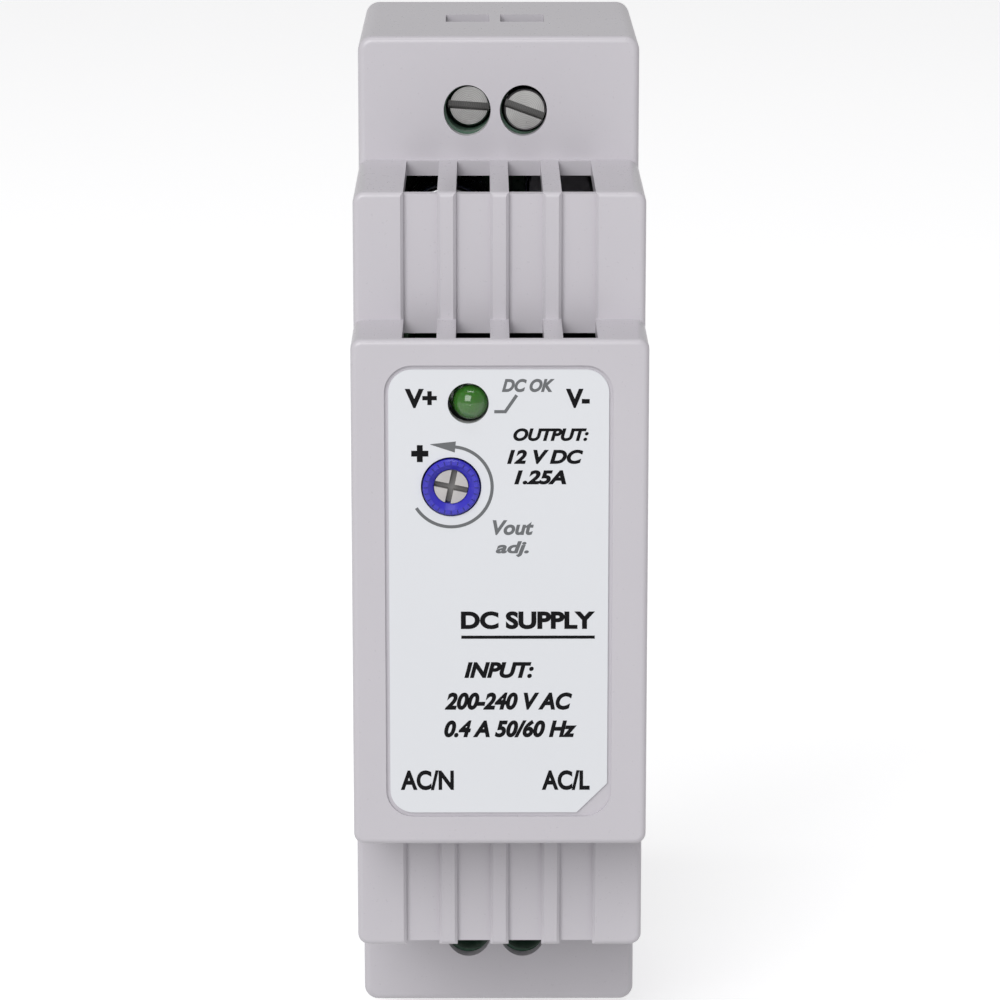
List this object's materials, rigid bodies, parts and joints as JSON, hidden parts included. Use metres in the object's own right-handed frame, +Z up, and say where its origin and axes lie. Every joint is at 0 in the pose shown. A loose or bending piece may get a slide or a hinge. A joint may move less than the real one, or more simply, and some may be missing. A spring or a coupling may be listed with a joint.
{
  "type": "din rail power supply",
  "caption": "Slim stepped DIN rail power supply with screw terminals at both ends, output adjuster, indicator light and sprung rail latch.",
  "frame": {"origin": "centre of the face that seats on the rail, half way up the case", "axes": "+Z up, with the output terminals at the top; +X to the right seen from the front; the front faces -Y"},
  "size_m": [0.025, 0.0565, 0.093],
  "materials": {
    "housing": "fine moulded texture, light grey",
    "base_plastic": "fine moulded texture, light grey",
    "latch_plastic": "satin, grey",
    "label_film": "satin printed film",
    "lens_green": "glossy tinted epoxy",
    "trimmer_blue": "glossy moulded blue",
    "rotor_pale": "pale satin",
    "terminal_green": "satin green",
    "steel": "zinc plated",
    "spring_steel": "drawn wire",
    "tinned": "tin plated",
    "board": "solder resist over glass laminate",
    "can_aluminium": "drawn",
    "sleeve_dark": "shrink film",
    "ferrite": "sintered, matt",
    "bobbin": "moulded phenolic",
    "enamelled_copper": "enamelled wire",
    "tape_yellow": "polyester tape",
    "heat_sink": "sheared plate",
    "epoxy_black": "moulded epoxy",
    "box_yellow": "moulded box",
    "disc_blue": "dipped coating",
    "disc_green": "dipped coating",
    "resistor_body": "lacquered",
    "sheet_film": "insulating sheet"
  },
  "bodies": {
    "case": {"bridge_rectifier": "epoxy_black", "bulk_capacitor": "can_aluminium", "bulk_capacitor_sleeve": "sleeve_dark", "choke_coil_1": "enamelled_copper", "choke_coil_2": "enamelled_copper", "choke_core": "ferrite", "control_board": "board", "filter_capacitor": "box_yellow", "front_cover": "housing", "header_contacts": "tinned", "heat_sink_screw": "steel", "input_fuse": "epoxy_black", "input_line_contact": "tinned", "input_neutral_contact": "tinned", "input_terminal_block": "terminal_green", "inrush_thermistor": "disc_green", "insulating_sheet": "sheet_film", "led_leads": "tinned", "link_header": "bobbin", "main_board": "board", "optocoupler": "epoxy_black", "output_choke_coil": "enamelled_copper", "output_choke_core": "ferrite", "output_negative_contact": "tinned", "output_positive_contact": "tinned", "output_rectifier": "epoxy_black", "output_terminal_block": "terminal_green", "rating_label": "label_film", "rear_base": "base_plastic", "rectifier_heat_sink": "heat_sink", "ripple_capacitor": "can_aluminium", "ripple_capacitor_sleeve": "sleeve_dark", "safety_capacitor": "disc_blue", "smoothing_capacitor": "can_aluminium", "smoothing_capacitor_sleeve": "sleeve_dark", "snubber_diode": "epoxy_black", "snubber_resistor": "resistor_body", "status_led": "lens_green", "switching_controller": "epoxy_black", "transformer_bobbin": "bobbin", "transformer_core_front": "ferrite", "transformer_core_rear": "ferrite", "transformer_pins": "tinned", "transformer_tape": "tape_yellow", "transformer_winding": "enamelled_copper", "trimmer_body": "trimmer_blue", "trimmer_legs": "tinned", "varistor": "disc_blue"},
    "latch": {"rail_latch": "latch_plastic", "latch_spring": "spring_steel"},
    "adjuster": {"trimmer_rotor": "rotor_pale"},
    "output_negative_carriage": {"output_negative_clamp": "steel"},
    "output_negative_driver": {"output_negative_screw": "steel"},
    "output_positive_carriage": {"output_positive_clamp": "steel"},
    "output_positive_driver": {"output_positive_screw": "steel"},
    "input_neutral_carriage": {"input_neutral_clamp": "steel"},
    "input_neutral_driver": {"input_neutral_screw": "steel"},
    "input_line_carriage": {"input_line_clamp": "steel"},
    "input_line_driver": {"input_line_screw": "steel"}
  },
  "joints": [
    {"name": "rail_latch_slide", "type": "slide", "parent": "case", "child": "latch", "axis": [0, 0, -1], "range_m": [0, 0.003], "stiffness_N_per_m": 900, "springref_m": -0.002, "deforming": ["latch_spring"]},
    {"name": "adjuster_turn", "type": "hinge", "parent": "case", "child": "adjuster", "pos_m": [-0.0041, -0.0499, 0.0104], "axis": [0, 1, 0], "range_deg": [-130, 130]},
    {"name": "output_negative_clamp_slide", "type": "slide", "parent": "case", "child": "output_negative_carriage", "axis": [0, 1, 0], "range_m": [-0.0006, 0.0044]},
    {"name": "output_negative_screw_turn", "type": "hinge", "parent": "output_negative_carriage", "child": "output_negative_driver", "pos_m": [0.00235, -0.015, 0.0384], "axis": [0, 1, 0], "range_deg": [-432, 3168]},
    {"name": "output_positive_clamp_slide", "type": "slide", "parent": "case", "child": "output_positive_carriage", "axis": [0, 1, 0], "range_m": [-0.0034, 0.0016]},
    {"name": "output_positive_screw_turn", "type": "hinge", "parent": "output_positive_carriage", "child": "output_positive_driver", "pos_m": [-0.00265, -0.015, 0.0384], "axis": [0, 1, 0], "range_deg": [-2448, 1152]},
    {"name": "input_neutral_clamp_slide", "type": "slide", "parent": "case", "child": "input_neutral_carriage", "axis": [0, 1, 0], "range_m": [-0.0034, 0.0016]},
    {"name": "input_neutral_screw_turn", "type": "hinge", "parent": "input_neutral_carriage", "child": "input_neutral_driver", "pos_m": [-0.00265, -0.015, -0.0384], "axis": [0, 1, 0], "range_deg": [-2448, 1152]},
    {"name": "input_line_clamp_slide", "type": "slide", "parent": "case", "child": "input_line_carriage", "axis": [0, 1, 0], "range_m": [-0.0031, 0.0019]},
    {"name": "input_line_screw_turn", "type": "hinge", "parent": "input_line_carriage", "child": "input_line_driver", "pos_m": [0.00235, -0.015, -0.0384], "axis": [0, 1, 0], "range_deg": [-2232, 1368]}
  ],
  "couplings": [
    {"joint": "output_negative_screw_turn", "follows": "output_negative_clamp_slide", "rad_per_m": 12566},
    {"joint": "output_positive_screw_turn", "follows": "output_positive_clamp_slide", "rad_per_m": 12566},
    {"joint": "input_neutral_screw_turn", "follows": "input_neutral_clamp_slide", "rad_per_m": 12566},
    {"joint": "input_line_screw_turn", "follows": "input_line_clamp_slide", "rad_per_m": 12566}
  ]
}
